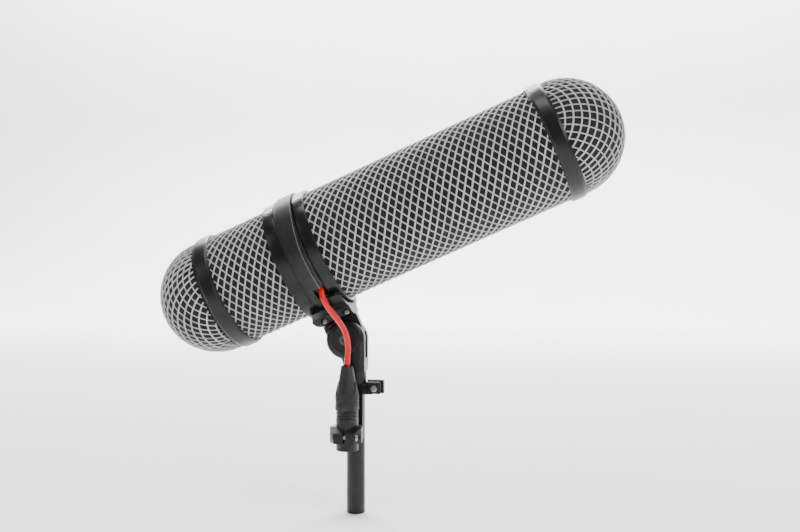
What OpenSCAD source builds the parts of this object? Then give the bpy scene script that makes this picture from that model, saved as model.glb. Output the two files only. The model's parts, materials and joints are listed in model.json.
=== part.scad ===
/* [Basket] */
// Outer radius of the basket tube
tube_r = 50; // [45:1:55]
// Thickness of the moulded netting
net_t = 1.2; // [0.8:0.1:1.6]
// Thickness of the cloth lining inside the netting
lining_t = 0.7; // [0.4:0.1:1.0]
// Outer radius of the rounded ends
dome_r = 50.4; // [50.2:0.1:50.8]
// Distance from the ring's middle to the joint under the front band
front_joint = 231.5; // [180:1:260]
// Distance from the ring's middle to the joint under the rear band
rear_joint = 80.8; // [76:1:100]
// Width of the rubber band over each joint
band_w = 13.5; // [10:0.5:16]

/* [Centre ring] */
// Outer radius of the centre ring
ring_r = 54.8; // [54.2:0.1:56]
// Outer radius of the collar on each pod
collar_r = 53; // [52:0.1:53]
// Length of each collar along the tube
collar_w = 10.4; // [8:0.2:12]
// Outer radius of the hoop that the pods push on to
hoop_r = 45.6; // [45:0.1:46]
// Angle of the cable notch below the level of the tube's axis
notch_angle = 44; // [35:1:50]

/* [Swivel] */
// Upward tilt of the basket
tilt = 23.8; // [15:0.1:30]
// Height of the swivel axis above the foot of the pole
pivot_z = 151; // [150:0.5:160]
// Offset of the swivel axis behind the pole
pivot_x = -7.6; // [-8:0.1:-6]
// Distance from the swivel axis to the axis of the basket
drop = 81.7; // [81:0.1:84]
// Radius of the fork's round end
cheek_r = 16.9; // [16.2:0.1:17]
// Radius of the swivel bolt
bolt_r = 3; // [2.5:0.1:3.5]

/* [Pole] */
// Radius of the pole
pole_r = 8; // [7.5:0.1:8]
// Thickness of the pole's wall
pole_wall = 1.5; // [1:0.1:2]
// Radius of the threaded hole in the foot
socket_r = 4; // [3.5:0.1:4.5]

/* [Connector] */
// Radius of the cable
cable_r = 2.5; // [2:0.1:2.6]
// Radius of the connector's shell
shell_r = 9.5; // [9:0.1:9.6]
// Sideways place of the connector's axis
conn_x = -3.3; // [-3.5:0.1:-2.5]
// Place of the connector's axis in front of the pole
conn_y = -22; // [-23:0.1:-22]

/* [Suspension] */
// Radius of the microphone that the clips hold
mic_r = 10; // [9.5:0.1:10.5]
// Distance of the front lyre from the ring's middle
front_lyre_a = 91; // [85:1:98]
// Distance of the rear lyre behind the ring's middle
rear_lyre_a = 40; // [38:1:42]
// Length of the rail behind the ring's middle
rail_back = 72; // [70:1:74]
// Length of the rail in front of the ring's middle
rail_front = 115; // [110:1:120]

/* [Hidden] */

round_fn = 96;
eps = 0.01;

// Netting, lining and joints
lining_r = tube_r - net_t;
lining_in = lining_r - lining_t;
dome_lining_r = dome_r - net_t;
dome_lining_in = dome_lining_r - lining_t;
collar_face = 9;
flange_t = 3;
seal_r = 0.7;
seal_a = collar_face + flange_t / 2;
flange_bore = hoop_r + 0.7;
band_t = 2.3;
front_dome_centre = 8.4;
rear_dome_centre = 11.6;
under_hoop_t = 1.9;
under_hoop_w = 8;

// Centre ring
ring_back = 6;
ring_front = 5.5;
rear_flange = 8.7;
front_flange = 8.4;
flange_r = 53.5;
skirt_in = collar_r + 0.3;
skirt_out = skirt_in + 0.8;
skirt_plane = -13.2;
skirt_slope = 9.8;
band_plane = 5.7;
band_slope = 4.9;
trim_t = 0.5;
notch_a = -1.3;
notch_w = 10;
notch_floor = 50.3;
hoop_t = 2.2;
hoop_half = 17;
grommet_a = 4.4;
grommet_r = 3.6;
grommet_in = 42.8;

// Saddle and swivel
saddle_back = 19.5;
saddle_front = 16.5;
saddle_low = drop - 17.6;
saddle_corner = 7;
shell_out = 58.5;
shell_angle = 62;
horn_angle = 49.5;
horn_a = 7;
screw_places = [-9.4, 11.7];
screw_h = -60.3;
screw_floor = 12.4;
tongue_half = 4.4;
tongue_r = 15.8;
tongue_back = 15;
tongue_front = 17;
cheek_gap = 4.9;
cheek_near = -12;
cheek_far = 11;
cheek_edge = 4.4;
slot_low = 16.3;
cap_r = 12.3;
cap_t = 1.4;

// Pole, arm and holder
adaptor_r = 9.3;
adaptor_low = 112.4;
socket_top = 127;
neck_low = 123;
neck_left = -9.6;
clamp_low = 103.3;
clamp_high = 112.2;
clamp_r = 11;
ear_low = 103.8;
ear_start = 9.9;
near_ear = [22.3, 4, 114];
far_ear = [24.5, 5, 115.3];
ear_gap = 1;
clamp_screw_x = 16.5;
clamp_screw_z = 108.6;
strip_t = 3.4;
strip_half = 8.2;
grip_low = 66;
grip_high = 79;
grip_r = 12.4;
jaw_gap = 1.2;
jaw_face = [8.6, -14.6];
jaw_side = [13.6, -6.5];
jaw_drop = 4.8;
grip_screw_y = -11.3;
grip_screw_z = 70.9;
grip_seat = 9.6;

// Connector, from its open end to the cable
conn_low = 58.5;
conn_floor = 67;
conn_ring_low = 93;
conn_boot_low = 102.3;
conn_top = 130;
cavity_r = 7.9;
pin_r = 1.2;
pin_places = [[-3.4, -0.8], [3.4, -0.8], [0, -4.2]];

// Suspension
rail_half = 7;
rail_low = -36;
rail_high = -31;
post_places = [-6, 6];
slide_gap = 0.12;
shoe_len = 16;
shoe_half = 11;
shoe_low = -38.4;
shoe_high = -28.2;
lyre_len = 8;
lyre_r = 24;
lyre_t = 2.4;
lyre_drop = 3;
clip_t = 2.2;
inner_cable_r = 2.2;
inner_cable_y = -14.5;
inner_cable_h = -34;
inner_loop_a = -96;
inner_conn_back = -80;
inner_conn_front = -57;
cable_clip_places = [-20, -66];

// Route of the cable tail, from the notch to the boot
tail_route = [
    [-22.8, -36.6, 196.4], [-21.7, -38.5, 193.6], [-20.8, -39.7, 190.4], [-19.4, -39.6, 186.5],
    [-17.5, -38, 182], [-15, -36, 178], [-12.5, -33.5, 174], [-10, -31.5, 170],
    [-7.5, -29, 166], [-5.5, -27, 162], [-4, -25.5, 158], [-3, -24, 153.5],
    [-2.5, -23, 149], [-2.5, -22.5, 144], [-2.8, -22, 138], [conn_x, -22, conn_top]
];

// Route of the inner cable, from the grommet along the rail and round into its connector
loop_mid = [inner_cable_y / 2, inner_cable_h / 2];
loop_r = norm(loop_mid);
inner_route = concat(
    [for (r = [grommet_in, 38]) [grommet_a, polar_y(r), polar_h(r)]],
    [[1, -24, -26], [-6, -18, -31]],
    [[-14, inner_cable_y, inner_cable_h], [-40, inner_cable_y, inner_cable_h]],
    [[-68, inner_cable_y, inner_cable_h], [-84, inner_cable_y, inner_cable_h]],
    [for (t = [0 : 18 : 180]) [
        inner_loop_a - loop_r * sin(t),
        loop_mid[0] * (1 + cos(t)),
        loop_mid[1] * (1 + cos(t))
    ]]
);

function polar_y(r) = -r * cos(notch_angle);
function polar_h(r) = -r * sin(notch_angle);
function unit(v) = v / norm(v);
function heading(p, i) = unit(p[min(i + 1, len(p) - 1)] - p[max(i - 1, 0)]);

// Round tube through a list of points
module sweep(route, r, sides) {
    rings = len(route);
    points = [for (i = [0 : rings - 1])
        let (t = heading(route, i), u = unit(cross([1, 0.3, 0.2], t)), v = cross(t, u))
        for (k = [0 : sides - 1])
            route[i] + r * (cos(360 * k / sides) * u + sin(360 * k / sides) * v)
    ];
    walls = [for (i = [0 : rings - 2], k = [0 : sides - 1])
        let (n = (k + 1) % sides)
        [i * sides + k, (i + 1) * sides + k, (i + 1) * sides + n, i * sides + n]
    ];
    first = [for (k = [0 : sides - 1]) k];
    last = [for (k = [sides - 1 : -1 : 0]) (rings - 1) * sides + k];
    polyhedron(points, concat([first, last], walls), convexity = 4);
}

// Places the basket's own frame: x along its axis, z away from the swivel
module basket() {
    translate([pivot_x, 0, pivot_z]) rotate([0, -tilt, 0]) translate([0, 0, drop]) children();
}

// Turns a profile of (radius, distance along the axis) round the basket's axis
module spun() {
    rotate([0, 90, 0]) rotate_extrude($fn = round_fn) children();
}

// Extrudes a profile of (y, z) along the basket's axis
module along(a0, a1) {
    translate([a0, 0, 0]) rotate([90, 0, 90]) linear_extrude(a1 - a0) children();
}

// Extrudes a profile of (x, z) across the swivel
module across(y0, y1) {
    translate([0, y1, 0]) rotate([90, 0, 0]) linear_extrude(y1 - y0) children();
}

// Tube along the basket's axis
module hollow(r_out, r_in, a0, a1) {
    spun() translate([r_in, a0]) square([r_out - r_in, a1 - a0]);
}

// Cylinder that points out from the basket's axis through the cable notch
module through_notch(r, from, to) {
    translate([grommet_a, 0, 0]) rotate([90 + notch_angle, 0, 0])
        translate([0, 0, from]) cylinder(r = r, h = to - from, $fn = 40);
}

// ---- Stand ----

module pole() {
    color("#1b1b1d") difference() {
        cylinder(r = pole_r, h = socket_top - 1, $fn = round_fn);
        translate([0, 0, -1])
            cylinder(r = pole_r - pole_wall, h = socket_top + 2, $fn = round_fn);
    }
}

module foot_insert() {
    color("#8a8c90") difference() {
        cylinder(r = pole_r - pole_wall, h = 18, $fn = 64);
        translate([0, 0, -1]) cylinder(r = socket_r, h = 20, $fn = 64);
    }
}

// Round end of the fork, with a rounded rim on the side of the cap
module cheek_disc() {
    near = -cheek_near;
    translate([pivot_x, 0, pivot_z]) rotate([90, 0, 0]) rotate_extrude($fn = round_fn) {
        translate([0, -cheek_far]) square([cheek_r, cheek_far + near - cheek_edge]);
        translate([0, -cheek_far]) square([cheek_r - cheek_edge, cheek_far + near]);
        intersection() {
            translate([cheek_r - cheek_edge, near - cheek_edge]) circle(r = cheek_edge, $fn = 48);
            translate([0, -cheek_far]) square([cheek_r + 1, cheek_far + near]);
        }
    }
}

// Hollow corner between the round end and the neck
module neck_fillet() {
    fillet_r = 9;
    fillet_z = pivot_z - 22;
    across(cheek_near + 3.5, cheek_far - 1) difference() {
        translate([neck_left - fillet_r, fillet_z]) square([fillet_r + 1, 12]);
        translate([neck_left - fillet_r, fillet_z]) circle(r = fillet_r, $fn = 64);
    }
}

module swivel_arm() {
    color("#262628") difference() {
        union() {
            cheek_disc();
            neck_fillet();
            intersection() {
                across(cheek_near, cheek_far) translate([neck_left, neck_low])
                    square([adaptor_r - neck_left, pivot_z - neck_low]);
                translate([0, 0, neck_low - 1]) cylinder(r = 13, h = 40, $fn = 64);
            }
            translate([0, 0, adaptor_low]) cylinder(r = adaptor_r, h = 16, $fn = 64);
        }
        translate([pivot_x, 0, pivot_z - slot_low + 30])
            cube([90, 2 * cheek_gap, 60], center = true);
        across(-20, 20) translate([pivot_x, pivot_z]) circle(r = bolt_r, $fn = 48);
        translate([0, 0, adaptor_low - 1])
            cylinder(r = pole_r, h = socket_top - adaptor_low + 1, $fn = round_fn);
        translate([0, pole_r - 1, adaptor_low + 7]) rotate([-90, 0, 0])
            cylinder(r = 2, h = 6, $fn = 32);
    }
}

module arm_set_screw() {
    color("#3a3a3c") translate([0, pole_r, adaptor_low + 7]) rotate([-90, 0, 0])
        difference() {
            cylinder(r = 2, h = 1.2, $fn = 32);
            translate([0, 0, 0.5]) cylinder(r = 1.1, h = 2, $fn = 6);
        }
}

module swivel_cap() {
    color("#3a3a3c") translate([pivot_x, 0, pivot_z]) rotate([90, 0, 0])
        difference() {
            translate([0, 0, -cheek_near]) rotate_extrude($fn = round_fn)
                polygon([[0, 0], [cap_r, 0], [cap_r, cap_t - 0.5], [cap_r - 0.5, cap_t], [0, cap_t]]);
            cylinder(r = bolt_r, h = 30, $fn = 48);
        }
}

module swivel_bolt() {
    head_t = 1.4;
    bolt_end = 18.5;
    color("#55575b") translate([pivot_x, 0, pivot_z]) rotate([90, 0, 0])
        difference() {
            union() {
                translate([0, 0, -bolt_end])
                    cylinder(r = bolt_r, h = bolt_end - cheek_near + cap_t, $fn = 48);
                translate([0, 0, cap_t - cheek_near]) cylinder(r = 4.2, h = head_t, $fn = 48);
            }
            translate([0, 0, cap_t - cheek_near - 1.2]) cylinder(r = 2.5, h = 4, $fn = 6);
        }
}

module flat_washer(y0, t, r) {
    translate([pivot_x, y0 + t, pivot_z]) rotate([90, 0, 0]) difference() {
        cylinder(r = r, h = t, $fn = 64);
        translate([0, 0, -1]) cylinder(r = bolt_r, h = t + 2, $fn = 48);
    }
}

module swivel_washers() {
    color("#8a8c90") {
        flat_washer(-cheek_gap, 0.4, 9);
        flat_washer(cheek_gap - 0.4, 0.4, 9);
    }
}

module knob_washer() {
    color("#8a8c90") flat_washer(cheek_far, 0.8, 8);
}

module lock_knob() {
    lobes = 6;
    color("#1b1b1d") translate([pivot_x, 0, pivot_z]) difference() {
        union() {
            across(cheek_far + 1, cheek_far + 4) circle(r = 8.5, $fn = 64);
            across(cheek_far + 4, cheek_far + 11.5) difference() {
                circle(r = 11.5, $fn = round_fn);
                for (k = [1 : lobes]) rotate(60 * k) translate([13.8, 0]) circle(r = 4.2, $fn = 48);
            }
        }
        across(0, cheek_far + 9) circle(r = 5, $fn = 48);
    }
}

module knob_insert() {
    color("#b08d57") translate([pivot_x, 0, pivot_z]) across(cheek_far + 1, cheek_far + 9)
        difference() {
            circle(r = 5, $fn = 48);
            circle(r = bolt_r + 0.05, $fn = 48);
        }
}

// One ear of the pole clamp; size is its end, its thickness and its top
module ear(size, side) {
    y0 = side > 0 ? ear_gap : -ear_gap - size[1];
    translate([5, y0, clamp_low]) cube([ear_start, size[1], clamp_high - clamp_low]);
    translate([ear_start, y0, ear_low]) cube([size[0] - ear_start, size[1], size[2] - ear_low]);
}

module pole_clamp() {
    translate([0, 0, clamp_low]) linear_extrude(clamp_high - clamp_low) difference() {
        union() {
            circle(r = clamp_r, $fn = round_fn);
            translate([-strip_half, conn_y + grip_r - 2.2]) square([2 * strip_half, 12]);
        }
        circle(r = pole_r, $fn = round_fn);
        translate([0, -ear_gap]) square([clamp_r + 1, 2 * ear_gap]);
        translate([conn_x, conn_y]) circle(r = shell_r + 1.2, $fn = 64);
    }
    difference() {
        union() {
            ear(near_ear, -1);
            ear(far_ear, 1);
        }
        translate([0, 0, clamp_low - 1]) cylinder(r = pole_r, h = 20, $fn = round_fn);
    }
}

// Split jaws that clamp the connector; their tops fall away towards the front
module connector_grip() {
    face = jaw_face;
    side = jaw_side;
    height = grip_high - grip_low;
    translate([conn_x, conn_y, grip_low]) difference() {
        linear_extrude(height) difference() {
            union() {
                circle(r = grip_r, $fn = round_fn);
                polygon([
                    [-face[0], face[1]], face, side, [side[0], -1],
                    [-side[0], -1], [-side[0], side[1]]
                ]);
            }
            circle(r = shell_r, $fn = round_fn);
            translate([-jaw_gap, -20]) square([2 * jaw_gap, 20]);
        }
        translate([-20, 0, 0]) rotate([90, 0, 90]) linear_extrude(40) polygon([
            [side[1], height], [face[1] - 1, height - jaw_drop], [face[1] - 1, height + 1],
            [side[1], height + 1]
        ]);
        for (q = [-1, 1]) translate([q * grip_seat, grip_screw_y, grip_screw_z - grip_low])
            rotate([0, 90 * q, 0]) cylinder(r = 3.4, h = 8, $fn = 48);
    }
}

module holder_bracket() {
    strip_y = -pole_r - strip_t;
    color("#232325") difference() {
        union() {
            pole_clamp();
            connector_grip();
            translate([-strip_half, strip_y, grip_low])
                cube([2 * strip_half, strip_t - 0.3, clamp_low - grip_low + 1]);
        }
        translate([conn_x, conn_y, grip_low - 1])
            cylinder(r = shell_r, h = clamp_low - grip_low + 2, $fn = round_fn);
        translate([conn_x, conn_y, grip_high])
            cylinder(r = shell_r + 1.2, h = clamp_high - grip_high + 1, $fn = round_fn);
        translate([clamp_screw_x, 10, clamp_screw_z]) rotate([90, 0, 0])
            cylinder(r = 2, h = 20, $fn = 32);
        translate([conn_x - 20, conn_y + grip_screw_y, grip_screw_z])
            rotate([0, 90, 0]) cylinder(r = 1.5, h = 40, $fn = 32);
    }
}

// Pan head with a cross slot and a shank; the head's underside is at z = 0
module cross_screw(head_r, head_t, shank_r, shank_len) {
    slot_w = head_r * 0.28;
    difference() {
        union() {
            rotate_extrude($fn = 48)
                polygon([[0, 0], [head_r, 0], [head_r, head_t * 0.5], [head_r * 0.7, head_t], [0, head_t]]);
            translate([0, 0, -shank_len]) cylinder(r = shank_r, h = shank_len + eps, $fn = 32);
        }
        for (q = [0, 90]) rotate(q)
            translate([-head_r * 0.6, -slot_w / 2, head_t * 0.45])
                cube([head_r * 1.2, slot_w, head_t]);
    }
}

module hex_nut(r, t, bore) {
    difference() {
        cylinder(r = r, h = t, $fn = 6);
        translate([0, 0, -1]) cylinder(r = bore, h = t + 2, $fn = 32);
    }
}

module pole_clamp_screw() {
    near = ear_gap + near_ear[1];
    far = ear_gap + far_ear[1];
    color("#9a9ca0") translate([clamp_screw_x, 0, clamp_screw_z]) {
        translate([0, -near, 0]) rotate([90, 0, 0]) cross_screw(3.1, 2, 2, near + far + 3);
        translate([0, far, 0]) rotate([-90, 0, 0]) hex_nut(3.8, 2.4, 2);
    }
}

module conn_clamp_screw() {
    color("#9a9ca0") translate([conn_x, conn_y + grip_screw_y, grip_screw_z]) {
        translate([grip_seat, 0, 0]) rotate([0, 90, 0]) cross_screw(2.7, 1.8, 1.5, 2 * grip_seat + 2);
        translate([-grip_seat, 0, 0]) rotate([0, -90, 0]) hex_nut(3, 1.8, 1.5);
    }
}

module at_connector() {
    translate([conn_x, conn_y, 0]) children();
}

module conn_boot() {
    color("#4c4e52") at_connector() rotate_extrude($fn = round_fn)
        polygon([
            [0, conn_boot_low], [10.3, conn_boot_low], [10.1, 106], [9.2, 112], [8.1, 117.5],
            [7.2, 120.5], [6.3, 125], [5.3, conn_top - 0.8], [4.7, conn_top], [0, conn_top]
        ]);
}

module conn_bushing() {
    bush_r = 10.2;
    groove = 0.5;
    color("#4c4e52") at_connector() difference() {
        translate([0, 0, conn_ring_low])
            cylinder(r = bush_r, h = conn_boot_low - conn_ring_low, $fn = round_fn);
        for (z = [96.5, 98.5, 100.5]) translate([0, 0, z]) difference() {
            cylinder(r = bush_r + 1, h = 1, $fn = round_fn);
            translate([0, 0, -1]) cylinder(r = bush_r - groove, h = 3, $fn = round_fn);
        }
    }
}

module conn_shell() {
    groove = 0.5;
    color("#1b1b1d") at_connector() difference() {
        translate([0, 0, conn_low])
            cylinder(r = shell_r, h = conn_ring_low - conn_low, $fn = round_fn);
        translate([0, 0, conn_low - 1])
            cylinder(r = cavity_r, h = conn_floor + 8 - conn_low + 1, $fn = round_fn);
        for (z = [85.8, 88.4, 91]) translate([0, 0, z]) difference() {
            cylinder(r = shell_r + 1, h = 1, $fn = round_fn);
            translate([0, 0, -1]) cylinder(r = shell_r - groove, h = 3, $fn = round_fn);
        }
    }
}

module conn_carrier() {
    color("#101012") at_connector() difference() {
        translate([0, 0, conn_floor]) cylinder(r = cavity_r, h = 8, $fn = round_fn);
        for (p = pin_places) translate([p[0], p[1], conn_floor - 1])
            cylinder(r = pin_r, h = 6, $fn = 32);
    }
}

module conn_pins() {
    color("#c9a227") at_connector() for (p = pin_places)
        translate([p[0], p[1], conn_low + 1]) cylinder(r = pin_r, h = conn_floor + 4 - conn_low, $fn = 32);
}

module cable_tail() {
    color("#e8443a") sweep(tail_route, cable_r, 10);
}

// ---- Cradle ----

module tongue() {
    color("#2a2a2c") basket() difference() {
        across(-tongue_half, tongue_half) union() {
            translate([0, -drop]) circle(r = tongue_r, $fn = round_fn);
            translate([-tongue_back, -drop]) square([tongue_back + tongue_front, drop - saddle_low]);
        }
        across(-20, 20) translate([0, -drop]) circle(r = bolt_r + 0.05, $fn = 48);
    }
}

// Saddle's section square to the basket's axis; the shell starts at an angle below the axis
module saddle_section(start) {
    reach = 100;
    foot = [[-18.5, -54], [-12.5, -62], [-8, -saddle_low], [8, -saddle_low], [12.5, -62], [18.5, -54]];
    difference() {
        intersection() {
            union() {
                circle(r = shell_out, $fn = round_fn);
                polygon(foot);
            }
            polygon([
                [0, 0], [-reach * cos(start), -reach * sin(start)],
                [reach * cos(start), -reach * sin(start)]
            ]);
        }
        circle(r = ring_r, $fn = round_fn);
    }
}

// Saddle before its shell is trimmed, with its rounded rear corner
module saddle_blank() {
    corner_a = saddle_corner - saddle_back;
    corner_h = saddle_corner - saddle_low;
    intersection() {
        along(-saddle_back, saddle_front) saddle_section(horn_angle);
        across(-45, 45) polygon(concat(
            [for (t = [180 : 10 : 270]) [
                corner_a + saddle_corner * cos(t), corner_h + saddle_corner * sin(t)
            ]],
            [[saddle_front + 2, -saddle_low], [saddle_front + 2, 0], [-13, 0], [-13, -50]]
        ));
    }
}

// Cut on one side: only an upright at the front keeps the shell's full height
module saddle_trim() {
    corner = 5;
    middle = 60;
    top = shell_out * sin(middle - horn_angle);
    rotate([shell_angle, 0, 0]) translate([-saddle_back - 1, -80, 0])
        cube([saddle_back + 1 + horn_a, 80, 40]);
    rotate([90 + middle, 0, 0]) translate([saddle_front - corner + 0.3, top - corner, 40])
        linear_extrude(30) polygon(concat(
            [for (t = [0 : 10 : 90]) [corner * cos(t), corner * sin(t)]],
            [[0, corner + 3], [corner + 3, corner + 3], [corner + 3, 0]]
        ));
}

module saddle() {
    color("#2a2a2c") basket() difference() {
        saddle_blank();
        saddle_trim();
        mirror([0, 1, 0]) saddle_trim();
        for (a = screw_places) translate([a, 0, screw_h]) {
            for (side = [-1, 1]) rotate([90 * side, 0, 0])
                translate([0, 0, screw_floor]) cylinder(r = 3.2, h = 8, $fn = 48);
            rotate([90, 0, 0]) cylinder(r = 1.6, h = 40, center = true, $fn = 32);
        }
    }
}

module saddle_screws() {
    color("#9a9ca0") basket() for (a = screw_places) translate([a, -screw_floor, screw_h])
        rotate([90, 0, 0]) cross_screw(2.2, 1.3, 1.6, 2 * screw_floor);
}

module notch_cut() {
    rotate([notch_angle, 0, 0]) translate([notch_a, -80, -notch_w / 2])
        cube([20, 80 - notch_floor, notch_w]);
}

// Half-space cut square to the basket's axis and leaned by an angle
module leaned_cut(a, lean) {
    translate([a, 0, 0]) rotate([0, lean, 0]) translate([0, -80, -80]) cube([80, 160, 160]);
}

module centre_ring() {
    color("#303033") basket() difference() {
        union() {
            spun() polygon([
                [hoop_r, -rear_flange], [flange_r, -rear_flange], [flange_r, -ring_back],
                [ring_r - 0.8, -ring_back], [ring_r, 0.8 - ring_back], [ring_r, ring_front - 0.6],
                [ring_r - 0.6, ring_front], [flange_r, ring_front],
                [flange_r, front_flange], [hoop_r, front_flange]
            ]);
            difference() {
                hollow(ring_r, flange_r - 1, ring_front - 1, front_flange);
                leaned_cut(band_plane, band_slope);
            }
        }
        through_notch(grommet_r, 40, 60);
        notch_cut();
    }
}

module ring_skirt() {
    color("#262628") basket() intersection() {
        hollow(skirt_out, skirt_in, -19.5, -rear_flange);
        leaned_cut(skirt_plane, skirt_slope);
    }
}

// Follows the leaned edge above the basket's axis and the square edge below it
module ring_trim() {
    raised = 0.15;
    inset = 0.8;
    color("#8a8c90") basket() difference() {
        union() {
            intersection() {
                hollow(ring_r + raised, ring_r, ring_front - 3, front_flange);
                difference() {
                    leaned_cut(band_plane - trim_t - inset, band_slope);
                    leaned_cut(band_plane - inset, band_slope);
                }
                translate([0, -80, 0]) cube([20, 160, 80]);
            }
            intersection() {
                hollow(ring_r + raised, ring_r, band_plane - trim_t - inset, band_plane - inset);
                translate([0, -80, -80]) cube([20, 160, 80]);
            }
        }
        notch_cut();
        along(0, 20) polygon([[0, 0], [-70, -100], [70, -100]]);
    }
}

module ring_hoop() {
    color("#1b1b1d") basket() difference() {
        hollow(hoop_r, hoop_r - hoop_t, -hoop_half, hoop_half);
        for (a = [-seal_a, seal_a]) spun()
            translate([hoop_r - 0.3, a]) circle(r = seal_r, $fn = 24);
        through_notch(grommet_r, 40, 60);
        for (a = post_places) translate([a, 0, -hoop_r - 1]) cylinder(r = 1.6, h = 10, $fn = 32);
    }
}

module ring_seals() {
    color("#101012") basket() for (a = [-seal_a, seal_a]) spun()
        translate([hoop_r - 0.3, a]) circle(r = seal_r, $fn = 24);
}

module rail() {
    post_r = 3.5;
    post_h = rail_low + hoop_r - hoop_t;
    color("#8a8c90") basket() difference() {
        union() {
            translate([-rail_back, -rail_half, rail_low])
                cube([rail_back + rail_front, 2 * rail_half, rail_high - rail_low]);
            for (a = post_places) intersection() {
                translate([a, 0, rail_low - post_h - 1])
                    cylinder(r = post_r, h = post_h + 2, $fn = 48);
                hollow(hoop_r - hoop_t, 10, -hoop_half, hoop_half);
            }
        }
        for (a = post_places) translate([a, 0, -hoop_r - 1])
            cylinder(r = 1.6, h = 12, $fn = 32);
    }
}

module rail_screws() {
    color("#9a9ca0") basket() for (a = post_places)
        translate([a, 0, 0.4 - hoop_r]) cylinder(r = 1.6, h = 8, $fn = 32);
}

module cable_grommet() {
    color("#101012") basket() difference() {
        through_notch(grommet_r, grommet_in, notch_floor - 0.3);
        through_notch(cable_r + 0.1, 30, 60);
    }
}

module inner_cable() {
    color("#c8453c") basket() sweep(inner_route, inner_cable_r, 8);
}

module cable_clips() {
    clip_w = 5;
    color("#1b1b1d") basket() for (a = cable_clip_places) difference() {
        along(a - clip_w / 2, a + clip_w / 2) difference() {
            union() {
                translate([inner_cable_y, inner_cable_h]) circle(r = inner_cable_r + 1.6, $fn = 40);
                translate([inner_cable_y, rail_low])
                    square([-rail_half - inner_cable_y, 3]);
            }
            translate([inner_cable_y, inner_cable_h]) circle(r = inner_cable_r + 0.1, $fn = 40);
        }
    }
}

module inner_shell() {
    color("#1b1b1d") basket() spun() polygon([
        [cavity_r, inner_conn_front], [9.5, inner_conn_front], [9.5, inner_conn_back],
        [0, inner_conn_back], [0, inner_conn_back + 6], [cavity_r, inner_conn_back + 6]
    ]);
}

module inner_boot() {
    color("#4c4e52") basket() spun() polygon([
        [0, inner_conn_back], [9, inner_conn_back], [7.5, inner_conn_back - 8],
        [4.5, inner_loop_a], [0, inner_loop_a]
    ]);
}

module inner_insert() {
    color("#101012") basket() difference() {
        spun() translate([0, inner_conn_back + 6])
            square([cavity_r, inner_conn_front - inner_conn_back - 6.5]);
        for (p = pin_places) translate([inner_conn_front - 12, p[0], p[1]])
            rotate([0, 90, 0]) cylinder(r = pin_r + 0.1, h = 20, $fn = 32);
    }
}

module inner_clip() {
    clip_r = 9.5;
    color("#1b1b1d") basket() along(-rail_back, -rail_back + 8) difference() {
        union() {
            circle(r = clip_r + 2, $fn = round_fn);
            translate([-3, rail_high]) square([6, 24]);
        }
        circle(r = clip_r, $fn = round_fn);
        polygon([[0, 0], [-30, 34], [30, 34]]);
    }
}

// Sprung loop that carries a microphone clip; the profile is square to the basket's axis
module lyre_profile() {
    hook_angle = 42;
    hook_r = 5.4;
    hook_reach = 18.2;
    clip_out = mic_r + clip_t;
    difference() {
        union() {
            translate([0, -lyre_drop]) difference() {
                circle(r = lyre_r + lyre_t / 2, $fn = round_fn);
                circle(r = lyre_r - lyre_t / 2, $fn = round_fn);
                polygon([
                    [0, 0], [60 * cos(hook_angle), 60 * sin(hook_angle)], [0, 90],
                    [-60 * cos(hook_angle), 60 * sin(hook_angle)]
                ]);
            }
            for (side = [-1, 1]) {
                translate([
                    side * hook_reach * cos(hook_angle), hook_reach * sin(hook_angle) - lyre_drop
                ]) difference() {
                    circle(r = hook_r + lyre_t / 2, $fn = 48);
                    circle(r = hook_r - lyre_t / 2, $fn = 48);
                    rotate(side * hook_angle) translate([-10, -20]) square([20, 20]);
                }
            }
            circle(r = clip_out, $fn = round_fn);
            translate([-4, -lyre_drop - lyre_r - 1.2]) square([8, 3]);
        }
        circle(r = mic_r, $fn = round_fn);
        polygon([[0, 0], [-23, 40], [23, 40]]);
    }
}

module lyre_at(a) {
    basket() along(a - lyre_len / 2, a + lyre_len / 2) lyre_profile();
}

module shoe_at(a) {
    basket() difference() {
        translate([a - shoe_len / 2, -shoe_half, shoe_low])
            cube([shoe_len, 2 * shoe_half, shoe_high - shoe_low]);
        translate([a - shoe_len, -rail_half - slide_gap, rail_low - slide_gap])
            cube([2 * shoe_len, 2 * (rail_half + slide_gap), rail_high - rail_low + 2 * slide_gap]);
        translate([a, 0, (rail_low + rail_high) / 2]) rotate([-90, 0, 0])
            cylinder(r = 1.5, h = 30, $fn = 32);
    }
}

module thumb_screw_at(a) {
    basket() translate([a, 0, (rail_low + rail_high) / 2]) rotate([-90, 0, 0]) {
        translate([0, 0, rail_half + 0.3]) cylinder(r = 1.5, h = 6, $fn = 32);
        translate([0, 0, shoe_half]) cylinder(r = 3.6, h = 4, $fn = 48);
    }
}

module front_lyre() { color("#2a2a2c") lyre_at(front_lyre_a); }
module front_shoe() { color("#3a3a3c") shoe_at(front_lyre_a); }
module front_thumb_screw() { color("#9a9ca0") thumb_screw_at(front_lyre_a); }
module rear_lyre() { color("#2a2a2c") lyre_at(-rear_lyre_a); }
module rear_shoe() { color("#3a3a3c") shoe_at(-rear_lyre_a); }
module rear_thumb_screw() { color("#9a9ca0") thumb_screw_at(-rear_lyre_a); }

// ---- Pods: dir is 1 for the front pod and -1 for the rear pod ----

module pod(dir) {
    basket() mirror([dir < 0 ? 1 : 0, 0, 0]) children();
}

module collar() {
    spun() polygon([
        [flange_bore, collar_face], [collar_r - 0.7, collar_face], [collar_r, collar_face + 0.7],
        [collar_r, collar_face + collar_w - 1], [collar_r - 0.8, collar_face + collar_w],
        [tube_r, collar_face + collar_w], [tube_r, collar_face + flange_t],
        [flange_bore, collar_face + flange_t]
    ]);
}

module netting(joint) {
    hollow(tube_r, lining_r, collar_face + flange_t, joint);
}

module lining(joint) {
    hollow(lining_r, lining_in, collar_face + flange_t, joint);
}

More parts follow.
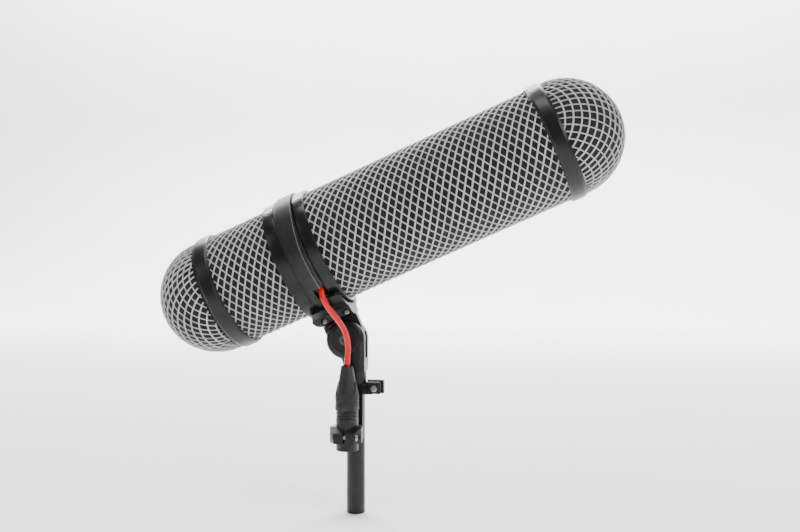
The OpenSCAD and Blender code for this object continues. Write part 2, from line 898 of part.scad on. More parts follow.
module band(joint) {
    out = tube_r + band_t;
    a0 = joint - band_w / 2;
    a1 = joint + band_w / 2;
    spun() polygon([
        [tube_r, a0], [out - 0.9, a0], [out - 0.2, a0 + 0.6], [out, a0 + 2], [out, a1 - 2],
        [out - 0.2, a1 - 0.6], [out - 0.9, a1], [dome_r, a1], [dome_r, joint], [tube_r, joint]
    ]);
}

module under_hoop(joint) {
    half = under_hoop_w / 2;
    hollow(lining_in, lining_in - under_hoop_t, joint - half, joint + half);
}

// Rounded end with a short straight stretch under the band
module dome_shell(joint, centre, r_out, r_in) {
    spun() translate([0, joint]) difference() {
        union() {
            translate([0, centre]) intersection() {
                circle(r = r_out, $fn = round_fn);
                square(r_out + 1);
            }
            square([r_out, centre]);
        }
        translate([0, centre]) circle(r = r_in, $fn = round_fn);
        translate([-1, -1]) square([r_in + 1, centre + 1]);
    }
}

module front_collar() { color("#141416") pod(1) collar(); }
module front_netting() { color("#bdbdbd") pod(1) netting(front_joint); }
module front_lining() { color("#2a2a2e") pod(1) lining(front_joint); }
module front_band() { color("#1b1b1d") pod(1) band(front_joint); }
module front_hoop() { color("#303033") pod(1) under_hoop(front_joint); }
module front_dome() {
    color("#bdbdbd") pod(1) dome_shell(front_joint, front_dome_centre, dome_r, dome_lining_r);
}
module front_dome_lining() {
    color("#2a2a2e") pod(1)
        dome_shell(front_joint, front_dome_centre, dome_lining_r, dome_lining_in);
}

module rear_collar() { color("#141416") pod(-1) collar(); }
module rear_netting() { color("#bdbdbd") pod(-1) netting(rear_joint); }
module rear_lining() { color("#2a2a2e") pod(-1) lining(rear_joint); }
module rear_band() { color("#1b1b1d") pod(-1) band(rear_joint); }
module rear_hoop() { color("#303033") pod(-1) under_hoop(rear_joint); }
module rear_dome() {
    color("#bdbdbd") pod(-1) dome_shell(rear_joint, rear_dome_centre, dome_r, dome_lining_r);
}
module rear_dome_lining() {
    color("#2a2a2e") pod(-1)
        dome_shell(rear_joint, rear_dome_centre, dome_lining_r, dome_lining_in);
}

pole();
foot_insert();
swivel_arm();
arm_set_screw();
swivel_cap();
swivel_bolt();
swivel_washers();
knob_washer();
lock_knob();
knob_insert();
holder_bracket();
pole_clamp_screw();
conn_clamp_screw();
conn_boot();
conn_bushing();
conn_shell();
conn_carrier();
conn_pins();
cable_tail();
tongue();
saddle();
saddle_screws();
centre_ring();
ring_skirt();
ring_trim();
ring_hoop();
ring_seals();
rail();
rail_screws();
cable_grommet();
inner_cable();
cable_clips();
inner_shell();
inner_boot();
inner_insert();
inner_clip();
front_lyre();
front_shoe();
front_thumb_screw();
rear_lyre();
rear_shoe();
rear_thumb_screw();
front_collar();
front_netting();
front_lining();
front_band();
front_hoop();
front_dome();
front_dome_lining();
rear_collar();
rear_netting();
rear_lining();
rear_band();
rear_hoop();
rear_dome();
rear_dome_lining();
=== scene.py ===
import json
import math

import bmesh
import bpy
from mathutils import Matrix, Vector, noise


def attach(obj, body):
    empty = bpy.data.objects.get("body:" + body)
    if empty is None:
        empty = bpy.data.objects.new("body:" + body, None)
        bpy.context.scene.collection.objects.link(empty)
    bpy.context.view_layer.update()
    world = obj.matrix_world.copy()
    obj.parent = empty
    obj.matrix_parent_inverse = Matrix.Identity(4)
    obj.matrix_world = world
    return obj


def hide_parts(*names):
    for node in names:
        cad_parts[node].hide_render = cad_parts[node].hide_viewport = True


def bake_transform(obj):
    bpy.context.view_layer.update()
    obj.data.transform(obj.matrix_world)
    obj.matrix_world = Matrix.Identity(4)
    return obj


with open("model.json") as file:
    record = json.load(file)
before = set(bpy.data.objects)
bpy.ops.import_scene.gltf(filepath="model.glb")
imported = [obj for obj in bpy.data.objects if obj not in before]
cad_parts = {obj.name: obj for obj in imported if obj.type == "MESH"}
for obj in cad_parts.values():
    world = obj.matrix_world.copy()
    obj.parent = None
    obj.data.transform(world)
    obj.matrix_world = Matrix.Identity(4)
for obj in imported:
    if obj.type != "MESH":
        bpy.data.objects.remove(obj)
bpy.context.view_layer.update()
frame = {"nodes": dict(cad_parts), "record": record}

MM = 0.001
BODIES = frame["record"]["behaviour"]["bodies"]
BODY_OF = {node: body for body, nodes in BODIES.items() for node in nodes}
SLOT_OF = {s["node"]: s["material_slot"] for s in frame["record"]["subparts"]}
JOINTS = {j["name"]: j for j in frame["record"]["behaviour"]["joints"]}

# ---- The basket's own frame, from the joints ----

PIVOT = Vector(JOINTS["basket_tilt"]["pos_m"])
AXIS = Vector(JOINTS["front_pod_pull"]["axis"]).normalized()
RISE = Vector((-AXIS.z, 0, AXIS.x))
DROP = 81.7 * MM
RING_CENTRE = PIVOT + DROP * RISE

# Sizes in millimetres, as in the CAD model
TUBE_R = 50.0
DOME_R = 50.4
LINING_R = 48.8
COLLAR_R = 53.0
COLLAR_FACE = 9.0
COLLAR_END = 19.4
BAND_R = 52.3
BAND_W = 13.5
CLOTH_T = 0.5
FRONT_JOINT = 231.5
REAR_JOINT = 80.8
FRONT_DOME = 239.9
REAR_DOME = 92.4

# ---- The netting: two families of strands, a heavy one laid over a light one ----

STRANDS_AROUND = 28
HEAVY = {"half_width": 0.70, "half_depth": 0.60, "radius": 49.5}
LIGHT = {"half_width": 0.50, "half_depth": 0.48, "radius": 49.1}


def basket(a, y, h):
    """Row-frame point, in metres, of basket coordinates in millimetres."""
    return RING_CENTRE + (a * AXIS + h * RISE) * MM + Vector((0, y * MM, 0))


def around(a, radius, angle):
    """Point at a radius from the basket's axis; angle 0 is the side with the cable, 90 degrees the top."""
    return basket(a, -radius * math.cos(angle), radius * math.sin(angle))


def outward(angle):
    return math.sin(angle) * RISE + Vector((0, -math.cos(angle), 0))


# ---- Camera ----


def add_camera():
    camera = bpy.data.objects.new("camera", bpy.data.cameras.new("camera"))
    bpy.context.scene.collection.objects.link(camera)
    camera.location = (0.1453, -0.7480, 0.2148)
    camera.rotation_euler = (math.radians(90), 0, math.radians(8.09))
    camera.data.sensor_width = 36
    camera.data.lens = 39.15
    camera.data.clip_start = 0.01
    bpy.context.scene.camera = camera


# ---- Materials ----


def new_material(name):
    material = bpy.data.materials.new(name)
    material.use_nodes = True
    nodes = material.node_tree.nodes
    return material, nodes, material.node_tree.links, nodes["Principled BSDF"]


def add_noise(nodes, links, coords, scale, detail=4.0):
    texture = nodes.new("ShaderNodeTexNoise")
    texture.inputs["Scale"].default_value = scale
    texture.inputs["Detail"].default_value = detail
    links.new(coords, texture.inputs["Vector"])
    return texture.outputs["Fac"]


def ramp(nodes, links, factor, stops):
    node = nodes.new("ShaderNodeValToRGB")
    elements = node.color_ramp.elements
    for element, (place, colour) in zip(elements, (stops[0], stops[-1])):
        element.position = place
        element.color = (*colour, 1)
    for place, colour in stops[1:-1]:
        elements.new(place).color = (*colour, 1)
    links.new(factor, node.inputs["Fac"])
    return node.outputs["Color"]


def spread(nodes, links, factor, low, high):
    node = nodes.new("ShaderNodeMapRange")
    node.inputs["To Min"].default_value = low
    node.inputs["To Max"].default_value = high
    links.new(factor, node.inputs["Value"])
    return node.outputs["Result"]


def bump(nodes, links, height, distance, strength=1.0, under=None):
    node = nodes.new("ShaderNodeBump")
    node.inputs["Distance"].default_value = distance
    node.inputs["Strength"].default_value = strength
    links.new(height, node.inputs["Height"])
    if under is not None:
        links.new(under, node.inputs["Normal"])
    return node.outputs["Normal"]


def scaled(colour, factor):
    return tuple(min(1.0, c * factor) for c in colour)


def moulded(name, colour, roughness, grain=900, depth=0.00006, patch=60, vary=0.25, specular=0.32,
            coat=0.0, metallic=0.0):
    """Plastic, rubber or paint: fine moulded grain, faint patches, and small changes of gloss."""
    material, nodes, links, shader = new_material(name)
    coords = nodes.new("ShaderNodeTexCoord").outputs["Object"]
    patches = add_noise(nodes, links, coords, patch, 5)
    fine = add_noise(nodes, links, coords, grain, 3)
    tint = ramp(nodes, links, patches, [
        (0.3, scaled(colour, 1 - vary)), (0.5, colour), (0.72, scaled(colour, 1 + vary)),
    ])
    links.new(tint, shader.inputs["Base Color"])
    gloss = spread(nodes, links, patches, roughness * 0.85, min(1.0, roughness * 1.18))
    links.new(gloss, shader.inputs["Roughness"])
    links.new(bump(nodes, links, fine, depth), shader.inputs["Normal"])
    shader.inputs["Specular IOR Level"].default_value = specular
    shader.inputs["Metallic"].default_value = metallic
    shader.inputs["Coat Weight"].default_value = coat
    shader.inputs["Coat Roughness"].default_value = 0.25
    return material


def metal(name, colour, roughness, along=(1.0, 1.0, 1.0), depth=0.00002):
    """Machined metal with fine turning lines and a little handling dirt."""
    material, nodes, links, shader = new_material(name)
    coords = nodes.new("ShaderNodeTexCoord").outputs["Object"]
    stretch = nodes.new("ShaderNodeMapping")
    stretch.inputs["Scale"].default_value = along
    links.new(coords, stretch.inputs["Vector"])
    lines = add_noise(nodes, links, stretch.outputs["Vector"], 1500, 2)
    dirt = add_noise(nodes, links, coords, 180, 6)
    tint = ramp(nodes, links, dirt, [
        (0.35, scaled(colour, 0.6)), (0.6, colour), (0.8, scaled(colour, 1.1)),
    ])
    links.new(tint, shader.inputs["Base Color"])
    links.new(spread(nodes, links, dirt, roughness * 1.3, roughness * 0.8), shader.inputs["Roughness"])
    links.new(bump(nodes, links, lines, depth), shader.inputs["Normal"])
    shader.inputs["Metallic"].default_value = 1.0
    return material


def netting_plastic():
    """Pale extruded netting: satin, with faint flow streaks and slightly dulled patches."""
    material, nodes, links, shader = new_material("netting_grey")
    coords = nodes.new("ShaderNodeTexCoord").outputs["Object"]
    patches = add_noise(nodes, links, coords, 35, 4)
    fine = add_noise(nodes, links, coords, 1400, 3)
    mottled = add_noise(nodes, links, coords, 420, 3)
    tint = ramp(nodes, links, patches, [
        (0.3, (0.4, 0.4, 0.405)), (0.5, (0.47, 0.47, 0.47)), (0.7, (0.54, 0.54, 0.535)),
    ])
    links.new(tint, shader.inputs["Base Color"])
    links.new(spread(nodes, links, mottled, 0.34, 0.56), shader.inputs["Roughness"])
    soft = bump(nodes, links, mottled, 0.00008)
    links.new(bump(nodes, links, fine, 0.00002, under=soft), shader.inputs["Normal"])
    shader.inputs["Specular IOR Level"].default_value = 0.45
    return material


def lining_cloth():
    """Dark knitted cloth: rows of small loops, a soft sheen and lint."""
    material, nodes, links, shader = new_material("lining_cloth")
    coords = nodes.new("ShaderNodeTexCoord").outputs["Object"]
    heights = []
    for turn in (0.0, 1.5708):
        turned = nodes.new("ShaderNodeMapping")
        turned.inputs["Rotation"].default_value = (0.3, turn - 0.41, 0.2)
        links.new(coords, turned.inputs["Vector"])
        wave = nodes.new("ShaderNodeTexWave")
        wave.inputs["Scale"].default_value = 620
        wave.inputs["Distortion"].default_value = 1.6
        wave.inputs["Detail"].default_value = 2
        links.new(turned.outputs["Vector"], wave.inputs["Vector"])
        heights.append(wave.outputs["Fac"])
    loops = nodes.new("ShaderNodeMath")
    loops.operation = "MULTIPLY"
    links.new(heights[0], loops.inputs[0])
    links.new(heights[1], loops.inputs[1])
    lint = add_noise(nodes, links, coords, 300, 6)
    tint = ramp(nodes, links, lint, [
        (0.35, (0.004, 0.004, 0.005)), (0.6, (0.007, 0.007, 0.009)), (0.8, (0.014, 0.014, 0.016)),
    ])
    links.new(tint, shader.inputs["Base Color"])
    links.new(spread(nodes, links, lint, 0.8, 0.98), shader.inputs["Roughness"])
    links.new(bump(nodes, links, loops.outputs["Value"], 0.00015), shader.inputs["Normal"])
    shader.inputs["Sheen Weight"].default_value = 0.08
    shader.inputs["Sheen Roughness"].default_value = 0.5
    return material


def make_materials():
    return {
        "pole_black": moulded("pole_black", (0.004, 0.004, 0.0043), 0.34, grain=1500, depth=0.00002),
        "cast_black": moulded("cast_black", (0.005, 0.005, 0.0052), 0.36, grain=1100, depth=0.00007),
        "bracket_black": moulded("bracket_black", (0.005, 0.005, 0.0052), 0.36, grain=1100, depth=0.00005),
        "steel": metal("steel", (0.3, 0.305, 0.315), 0.3),
        "steel_dark": metal("steel_dark", (0.16, 0.16, 0.17), 0.35),
        "brass": metal("brass", (0.8, 0.6, 0.28), 0.25),
        "moulded_black": moulded("moulded_black", (0.005, 0.005, 0.0052), 0.4, grain=1200),
        "ring_grey": moulded("ring_grey", (0.011, 0.011, 0.0115), 0.42, grain=1100, depth=0.00008),
        # lip_grey: the saddle lip is the same black plastic as the saddle, coloured mid-grey as a painted
        # highlight of the light it catches from the right and top
        "lip_grey": moulded("lip_grey", (0.16, 0.16, 0.165), 0.4, grain=1100),
        "collar_black": moulded("collar_black", (0.005, 0.005, 0.0052), 0.24, grain=300, depth=0.00004,
                                patch=30),
        "band_rubber": moulded("band_rubber", (0.006, 0.006, 0.0063), 0.3, grain=350, depth=0.0001,
                               patch=40),
        "boot_rubber": moulded("boot_rubber", (0.018, 0.018, 0.0195), 0.5, grain=1300, depth=0.00008),
        "shell_black": moulded("shell_black", (0.004, 0.004, 0.0043), 0.3, grain=1500, depth=0.00002),
        "cable_red": moulded("cable_red", (0.6, 0.010, 0.008), 0.25, grain=700, depth=0.00006,
                             patch=120, vary=0.12),
        "netting_grey": netting_plastic(),
        "lining_cloth": lining_cloth(),
        "lyre_plastic": moulded("lyre_plastic", (0.02, 0.02, 0.022), 0.4),
        "rail_aluminium": metal("rail_aluminium", (0.3, 0.3, 0.32), 0.35),
    }


MATERIALS = make_materials()

# ---- Mesh helpers ----

# Edges sharper than this stay crisp on the turned pieces and the boot
SHARP_ANGLE = math.radians(50)


def ring_faces(first, rings, sides):
    """Faces that join each ring of points to the next, as a tube."""
    faces = []
    for i in range(rings):
        near = first + i * sides
        for k in range(sides):
            after = (k + 1) % sides
            faces.append((near + k, near + after, near + sides + after, near + sides + k))
    return faces


def add_piece(name, points, faces, slot, body=None, smooth=True):
    mesh = bpy.data.meshes.new(name)
    mesh.from_pydata(points, [], faces)
    mesh.materials.append(MATERIALS[slot])
    mesh.polygons.foreach_set("use_smooth", [smooth] * len(mesh.polygons))
    mesh.update()
    piece = bpy.data.objects.new(name, mesh)
    bpy.context.scene.collection.objects.link(piece)
    if body:
        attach(piece, body)
    return piece


def tube(line, sides, section, points, faces):
    """Adds a closed tube along line, a list of (point, side direction, up direction)."""
    first = len(points)
    for place, side, up in line:
        for k in range(sides):
            turn = 2 * math.pi * k / sides
            points.append(place + section[0] * math.cos(turn) * side + section[1] * math.sin(turn) * up)
    faces.extend(ring_faces(first, len(line) - 1, sides))
    last = first + (len(line) - 1) * sides
    faces.append(tuple(first + k for k in reversed(range(sides))))
    faces.append(tuple(last + k for k in range(sides)))


def frames_along(places, ups):
    """Turns points and up directions into (point, side, up) for tube()."""
    line = []
    for i, place in enumerate(places):
        ahead = places[min(i + 1, len(places) - 1)] - places[max(i - 1, 0)]
        up = ups[i].normalized()
        side = ahead.cross(up).normalized()
        line.append((place, side, side.cross(ahead).normalized()))
    return line


# ---- Netting ----


def strand_wander(seed, along, amount):
    """Small sideways wander that real netting has."""
    return amount * noise.noise(Vector((along * 0.02, seed * 7.3, 1.7)))


def helix(strand, turn_phase, pitch, sense, start, stop, kind):
    """One strand wound round the tube from start to stop along the axis."""
    step = 3.0
    count = int(abs(stop - start) / step) + 1
    places, ups = [], []
    for i in range(count + 1):
        a = start + (stop - start) * i / count
        turns = sense * (a / pitch - strand) + turn_phase
        angle = 2 * math.pi * turns / STRANDS_AROUND
        angle += strand_wander(strand + 40 * sense, a, 0.3) / TUBE_R
        places.append(around(a, kind["radius"], angle))
        ups.append(outward(angle))
    return frames_along(places, ups)


def tube_netting(name, start, stop, pitch, heavy_phase, light_phase, body, node):
    points, faces = [], []
    families = ((HEAVY, 1, heavy_phase), (LIGHT, -1, light_phase))
    for kind, sense, phase in families:
        for strand in range(STRANDS_AROUND):
            line = helix(strand, phase, pitch, sense, start, stop, kind)
            section = (kind["half_width"] * MM, kind["half_depth"] * MM)
            tube(line, 8, section, points, faces)
    piece = add_piece(name, points, faces, "netting_grey", body)
    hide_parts(node)
    return piece


def dome_place(x, y, centre, way, radius):
    """Point and outward direction where a flat net's (x, y) lands on the rounded end.

    The net keeps its distances from the tip; past the equator it runs straight along the tube."""
    reach = math.hypot(x, y)
    turn = math.atan2(y, x)
    quarter = DOME_R * math.pi / 2
    side = outward(turn)
    if reach > quarter:
        a = way * (centre - (reach - quarter))
        return around(a, radius, turn), side
    tip = reach / DOME_R
    place = around(way * (centre + radius * math.cos(tip)), radius * math.sin(tip), turn)
    return place, (way * math.cos(tip) * AXIS + math.sin(tip) * side)


def dome_strand(offset, turn, centre, way, kind, skirt):
    """One strand of the flat net, draped over the rounded end."""
    limit = DOME_R * math.pi / 2 + skirt
    if abs(offset) >= limit - 1:
        return None
    half = math.sqrt(limit * limit - offset * offset)
    count = max(4, int(2 * half / 2.5))
    radius = kind["radius"] + DOME_R - TUBE_R
    places, ups = [], []
    for i in range(count + 1):
        u = half * (2 * i / count - 1)
        sideways = offset + strand_wander(offset, u, 0.5)
        x = sideways * math.cos(turn) - u * math.sin(turn)
        y = sideways * math.sin(turn) + u * math.cos(turn)
        place, up = dome_place(x, y, centre, way, radius)
        places.append(place)
        ups.append(up)
    return frames_along(places, ups)


def dome_netting(name, centre, way, heavy, light, body, node):
    """heavy and light are (direction in degrees, pitch, place of the first strand) on the flat net."""
    points, faces = [], []
    skirt = 3.0
    for kind, (degrees, pitch, first) in ((HEAVY, heavy), (LIGHT, light)):
        reach = int(DOME_R * math.pi / 2 / pitch) + 2
        section = (kind["half_width"] * MM, kind["half_depth"] * MM)
        for k in range(-reach, reach + 1):
            line = dome_strand(k * pitch + first, math.radians(degrees), centre, way, kind, skirt)
            if line:
                tube(line, 8, section, points, faces)
    piece = add_piece(name, points, faces, "netting_grey", body)
    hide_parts(node)
    return piece


# ---- Round pieces, turned from a profile ----


def spin(name, profile, slot, body, nodes, segments=160, ripple=0.0, seed=0):
    """Turns a closed profile of (a, r) in millimetres round the basket's axis."""
    points, faces = [], []
    count = len(profile)
    for s in range(segments):
        angle = 2 * math.pi * s / segments
        for i, (a, r) in enumerate(profile):
            wave = ripple * noise.noise(Vector((3 * math.cos(angle), 3 * math.sin(angle), seed + a * 0.15)))
            points.append(around(a + wave, r, angle))
    for s in range(segments):
        after = (s + 1) % segments
        for i in range(count):
            j = (i + 1) % count
            faces.append((s * count + i, s * count + j, after * count + j, after * count + i))
    piece = add_piece(name, points, faces, slot, body)
    piece.data.set_sharp_from_angle(angle=SHARP_ANGLE)
    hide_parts(*nodes)
    return piece


def rounded(corners, radius, steps=4):
    """Rounds every corner of a closed outline of (a, r)."""
    result = []
    count = len(corners)
    for i in range(count):
        before, here, after = (Vector(corners[(i + k) % count]) for k in (-1, 0, 1))
        cut = min(radius, (before - here).length * 0.45, (after - here).length * 0.45)
        start = here + (before - here).normalized() * cut
        end = here + (after - here).normalized() * cut
        for k in range(steps + 1):
            t = k / steps
            point = (1 - t) ** 2 * start + 2 * t * (1 - t) * here + t * t * end
            result.append((point.x, point.y))
    return result


def band_outline(joint, way):
    low, high = joint - BAND_W / 2, joint + BAND_W / 2
    corners = [
        (low, TUBE_R + 0.15), (low, BAND_R - 0.9), (low + 1.4, BAND_R - 0.5), (low + 2.0, BAND_R),
        (high - 2.0, BAND_R), (high - 1.4, BAND_R - 0.4), (high, BAND_R - 0.8),
        (high, DOME_R + 0.15), (joint, DOME_R + 0.1), (joint, TUBE_R + 0.1),
    ]
    return [(way * a, r) for a, r in rounded(corners, 0.7)]


def collar_outline(way):
    flange_end = COLLAR_FACE + 3.0
    corners = [
        (COLLAR_FACE, 46.3), (COLLAR_FACE, COLLAR_R), (COLLAR_END, COLLAR_R - 0.2),
        (COLLAR_END, TUBE_R + 0.15), (flange_end, TUBE_R + 0.15), (flange_end, 46.3),
    ]
    return [(way * a, r) for a, r in rounded(corners, 0.8)]


# ---- Linings ----


def lining_tube(name, start, stop, body, node):
    """Cloth stretched inside the netting, with a little unevenness."""
    rings, sides = int(abs(stop - start) / 1.6) + 1, 224
    points = []
    for i in range(rings + 1):
        a = start + (stop - start) * i / rings
        for k in range(sides):
            angle = 2 * math.pi * k / sides
            swell = 0.12 * noise.noise(Vector((a * 0.12, 7 * math.cos(angle), 7 * math.sin(angle))))
            points.append(around(a, LINING_R - 0.3 + swell, angle))
    piece = add_piece(name, points, ring_faces(0, rings, sides), "lining_cloth", body)
    thicken(piece, CLOTH_T * MM)
    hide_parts(node)
    return piece


def lining_dome(name, centre, way, body, node):
    """Cloth over the rounded end, with a short straight edge that runs on along the tube."""
    rings, sides = 56, 160
    radius = DOME_R - 1.5
    skirt = 6.0
    quarter = radius * math.pi / 2
    points = [around(way * (centre + radius), 0, 0)]
    faces = []
    for i in range(1, rings + 1):
        reach = (quarter + skirt) * i / rings
        for k in range(sides):
            angle = 2 * math.pi * k / sides
            swell = 0.1 * noise.noise(Vector((reach * 0.15, 7 * math.cos(angle), 7 * math.sin(angle))))
            if reach > quarter:
                points.append(around(way * (centre - (reach - quarter)), radius + swell, angle))
            else:
                tip = reach / radius
                out = radius + swell
                points.append(around(way * (centre + out * math.cos(tip)), out * math.sin(tip), angle))
    for k in range(sides):
        faces.append((0, 1 + k, 1 + (k + 1) % sides))
    for i in range(rings - 1):
        for k in range(sides):
            near, after = 1 + i * sides, (k + 1) % sides
            faces.append((near + k, near + sides + k, near + sides + after, near + after))
    piece = add_piece(name, points, faces, "lining_cloth", body)
    thicken(piece, CLOTH_T * MM)
    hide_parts(node)
    return piece


def thicken(piece, thickness):
    modifier = piece.modifiers.new("thickness", "SOLIDIFY")
    modifier.thickness = thickness
    modifier.offset = 0


# ---- CAD shapes with softened edges ----


def refined(node, width, segments=3):
    """A copy of a CAD node with every sharp edge rounded, standing for the node."""
    source = frame["nodes"][node]
    work = bmesh.new()
    work.from_mesh(source.data)
    bmesh.ops.remove_doubles(work, verts=work.verts, dist=1e-6)
    bmesh.ops.dissolve_limit(
        work, angle_limit=math.radians(0.6), verts=work.verts, edges=work.edges
    )
    mesh = bpy.data.meshes.new("fine_" + node)
    work.to_mesh(mesh)
    work.free()
    mesh.materials.clear()
    mesh.materials.append(MATERIALS[SLOT_OF[node]])
    mesh.polygons.foreach_set("use_smooth", [True] * len(mesh.polygons))
    mesh.set_sharp_from_angle(angle=math.radians(28))
    piece = bpy.data.objects.new("fine_" + node, mesh)
    bpy.context.scene.collection.objects.link(piece)
    edge = piece.modifiers.new("edge", "BEVEL")
    edge.width = width * MM
    edge.segments = segments
    edge.limit_method = "ANGLE"
    edge.angle_limit = math.radians(28)
    edge.harden_normals = True
    edge.use_clamp_overlap = True
    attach(piece, BODY_OF[node])
    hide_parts(node)
    return piece


# ---- Cable tail ----

TAIL_ROUTE = [
    (-22.8, -36.6, 196.4), (-21.7, -38.5, 193.6), (-20.8, -39.7, 190.4), (-19.4, -39.6, 186.5),
    (-17.5, -38, 182), (-15, -36, 178), (-12.5, -33.5, 174), (-10, -31.5, 170),
    (-7.5, -29, 166), (-5.5, -27, 162), (-4, -25.5, 158), (-3, -24, 153.5),
    (-2.5, -23, 149), (-2.5, -22.5, 144), (-2.8, -22, 138), (-3.3, -22, 130),
]
CABLE_R = 2.5


def smooth_route(route, per_span=6):
    """Catmull-Rom curve through the route's points."""
    ends = [2 * Vector(route[0]) - Vector(route[1]), 2 * Vector(route[-1]) - Vector(route[-2])]
    knots = [ends[0]] + [Vector(p) for p in route] + [ends[1]]
    result = []
    for i in range(1, len(knots) - 2):
        p0, p1, p2, p3 = knots[i - 1 : i + 3]
        for k in range(per_span):
            t = k / per_span
            result.append(0.5 * (
                2 * p1 + (p2 - p0) * t + (2 * p0 - 5 * p1 + 4 * p2 - p3) * t * t
                + (3 * p1 - p0 - 3 * p2 + p3) * t * t * t
            ))
    result.append(knots[-2])
    for _ in range(12):
        result = [result[0]] + [
            (result[i - 1] + 2 * result[i] + result[i + 1]) / 4 for i in range(1, len(result) - 1)
        ] + [result[-1]]
    return [p * MM for p in result]


def add_cable_tail():
    path = smooth_route(TAIL_ROUTE)
    points, faces = [], []
    line = frames_along(path, [Vector((1, 0.3, 0.2))] * len(path))
    tube(line, 20, (CABLE_R * MM, CABLE_R * MM), points, faces)
    piece = add_piece("cable_outer_tail", points, faces, "cable_red")
    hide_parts("cable_tail")
    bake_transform(piece)
    return piece


# ---- Connector boot ----

BOOT_LOW, BOOT_TOP = 102.3, 130.0
BOOT_X, BOOT_Y = -3.3, -22.0
# Outline of the sleeve and of the cone inside it, as (height, radius)
SLEEVE = ((102.3, 10.2), (106.0, 10.0), (112.0, 9.1), (118.0, 8.0))
CONE = ((102.3, 9.2), (106.0, 8.9), (112.0, 8.0), (117.5, 7.1), (124.0, 6.1), (130.0, 5.1))
PETALS = 4
PETAL_TURN = math.radians(-103.8)
PETAL_TIP, PETAL_ROOT = 117.5, 105.0
# Height over which a petal's edge steps down, and how far the top edge is drawn in
PETAL_EDGE = 0.7
TOP_EDGE = 0.7


def radius_at(outline, z):
    """Radius of a (height, radius) outline at height z, straight between its points."""
    for (low, r_low), (high, r_high) in zip(outline, outline[1:]):
        if z <= high:
            return r_low + (r_high - r_low) * (z - low) / (high - low)
    return outline[-1][1]


def boot_radius(z, angle):
    """Tapered sleeve cut into pointed petals, over a smooth cone."""
    phase = ((angle - PETAL_TURN) * PETALS / (2 * math.pi)) % 1.0
    valley = math.sin(math.pi / 2 * (1 - abs(2 * phase - 1)))
    edge = PETAL_TIP - (PETAL_TIP - PETAL_ROOT) * valley
    step = min(1.0, max(0.0, (edge - z) / PETAL_EDGE + 0.5))
    step = step * step * (3 - 2 * step)
    return radius_at(CONE, z) * (1 - step) + radius_at(SLEEVE, z) * step


def add_boot():
    rings, sides = 110, 144
    points = []
    for i in range(rings + 1):
        z = BOOT_LOW + (BOOT_TOP - BOOT_LOW) * i / rings
        pull = TOP_EDGE if i == rings else 0.0
        for k in range(sides):
            angle = 2 * math.pi * k / sides
            r = boot_radius(z, angle) - pull
            points.append(Vector((BOOT_X + r * math.cos(angle), BOOT_Y + r * math.sin(angle), z)) * MM)
    faces = ring_faces(0, rings, sides)
    faces.append(tuple(reversed(range(sides))))
    faces.append(tuple(rings * sides + k for k in range(sides)))
    piece = add_piece("connector_boot", points, faces, "boot_rubber", "stand")
    piece.data.set_sharp_from_angle(angle=SHARP_ANGLE)
    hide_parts("conn_boot")
    return piece


# ---- Stage ----


FLOOR_HALF = 9.0
BEND_Y, BEND_R, BACKDROP_TOP = 2.6, 1.0, 5.0
WORLD_STRENGTH = 0.3
# Name, place, what it points at, size in metres, watts
LIGHTS = (
    ("backdrop_light", (0.0, 2.6, 3.4), (0.0, 3.8, 0.8), (6.0, 0.5), 850),
    ("key", (1.0, -0.8, 0.9), tuple(RING_CENTRE), (0.3, 0.6), 9),
    ("top", (-0.2, -0.3, 1.4), tuple(RING_CENTRE), (1.2, 0.3), 9),
    ("fill", (-1.1, -0.8, 0.7), tuple(RING_CENTRE), (0.5, 0.9), 2.5),
)


def add_light(name, place, target, size, watts):
    light = bpy.data.lights.new(name, "AREA")
    light.shape = "RECTANGLE"
    light.size, light.size_y = size
    light.energy = watts
    lamp = bpy.data.objects.new(name, light)
    bpy.context.scene.collection.objects.link(lamp)
    lamp.location = place
    lamp.rotation_euler = (Vector(target) - Vector(place)).to_track_quat("-Z", "Y").to_euler()


def add_stage():
    """Pale floor that curves up into a backdrop, evenly lit, and soft lights on the object."""
    profile = [(-FLOOR_HALF, 0.0)] + [
        (BEND_Y + BEND_R * math.sin(t), BEND_R * (1 - math.cos(t)))
        for t in (math.pi / 2 * i / 16 for i in range(17))
    ] + [(BEND_Y + BEND_R, BACKDROP_TOP)]
    points = [(side * FLOOR_HALF, y, z) for y, z in profile for side in (-1, 1)]
    faces = [(2 * i, 2 * i + 1, 2 * i + 3, 2 * i + 2) for i in range(len(profile) - 1)]
    mesh = bpy.data.meshes.new("floor")
    mesh.from_pydata(points, [], faces)
    mesh.polygons.foreach_set("use_smooth", [True] * len(faces))
    material, nodes, links, shader = new_material("floor_pale")
    coords = nodes.new("ShaderNodeTexCoord").outputs["Object"]
    tint = ramp(nodes, links, add_noise(nodes, links, coords, 3), [
        (0.3, (0.87, 0.87, 0.87)), (0.7, (0.9, 0.9, 0.9)),
    ])
    links.new(tint, shader.inputs["Base Color"])
    shader.inputs["Roughness"].default_value = 0.95
    shader.inputs["Specular IOR Level"].default_value = 0.1
    mesh.materials.append(material)
    floor = bpy.data.objects.new("floor", mesh)
    bpy.context.scene.collection.objects.link(floor)
    world = bpy.data.worlds.new("studio")
    world.use_nodes = True
    world.node_tree.nodes["Background"].inputs["Color"].default_value = (1, 1, 1, 1)
    world.node_tree.nodes["Background"].inputs["Strength"].default_value = WORLD_STRENGTH
    bpy.context.scene.world = world
    for light in LIGHTS:
        add_light(*light)


# ---- Build ----

add_camera()

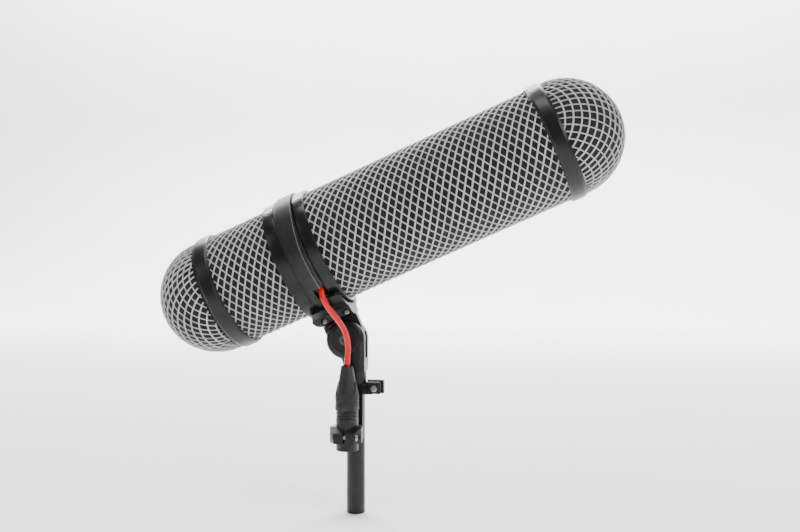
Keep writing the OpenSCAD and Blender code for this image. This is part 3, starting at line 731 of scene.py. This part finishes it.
SOFT_EDGES = {
    "swivel_arm": 0.9, "swivel_cap": 0.3, "lock_knob": 0.9, "holder_bracket": 0.5,
    "conn_bushing": 0.25, "conn_shell": 0.25, "tongue": 0.5, "saddle": 0.9,
    "centre_ring": 0.5, "ring_skirt": 0.3, "ring_hoop": 0.4, "rail": 0.5, "inner_shell": 0.4,
    "inner_boot": 0.8, "inner_clip": 0.4, "front_lyre": 0.6, "rear_lyre": 0.6,
    "front_shoe": 0.6, "rear_shoe": 0.6, "front_thumb_screw": 0.4, "rear_thumb_screw": 0.4,
    "cable_clips": 0.3,
}
fine = {node: refined(node, width) for node, width in SOFT_EDGES.items()}

boot = add_boot()
add_cable_tail()

tube_netting("netting_front", 12, FRONT_JOINT, 7.0, 0.086, -0.206, "front_pod", "front_netting")
tube_netting("netting_rear", -12, -REAR_JOINT, 6.88, -0.199, -0.223, "rear_pod", "rear_netting")
dome_netting(
    "netting_front_dome", FRONT_DOME, 1, (24.7, 7.06, 3.63), (126.8, 7.68, 4.43),
    "front_pod", "front_dome",
)
dome_netting(
    "netting_rear_dome", REAR_DOME, -1, (135.7, 7.53, 2.9), (17.7, 6.57, 5.08),
    "rear_pod", "rear_dome",
)
lining_tube("cloth_front", 12.5, FRONT_JOINT, "front_pod", "front_lining")
lining_tube("cloth_rear", -12.5, -REAR_JOINT, "rear_pod", "rear_lining")
lining_dome("cloth_front_dome", FRONT_DOME, 1, "front_pod", "front_dome_lining")
lining_dome("cloth_rear_dome", REAR_DOME, -1, "rear_pod", "rear_dome_lining")
spin("band_front", band_outline(FRONT_JOINT, 1), "band_rubber", "front_pod", ["front_band"],
     ripple=0.25, seed=1)
spin("band_rear", band_outline(REAR_JOINT, -1), "band_rubber", "rear_pod", ["rear_band"],
     ripple=0.25, seed=5)
spin("collar_front", collar_outline(1), "collar_black", "front_pod", ["front_collar"], ripple=0.08,
     seed=9)
spin("collar_rear", collar_outline(-1), "collar_black", "rear_pod", ["rear_collar"], ripple=0.08,
     seed=12)

REPLACED = set(SOFT_EDGES) | {
    "conn_boot", "cable_tail", "front_netting", "rear_netting", "front_dome", "rear_dome",
    "front_lining", "rear_lining", "front_dome_lining", "rear_dome_lining",
    "front_band", "rear_band", "front_collar", "rear_collar",
}
for node, piece in frame["nodes"].items():
    if node not in REPLACED:
        for place in piece.material_slots:
            place.material = MATERIALS[SLOT_OF[node]]

add_stage()
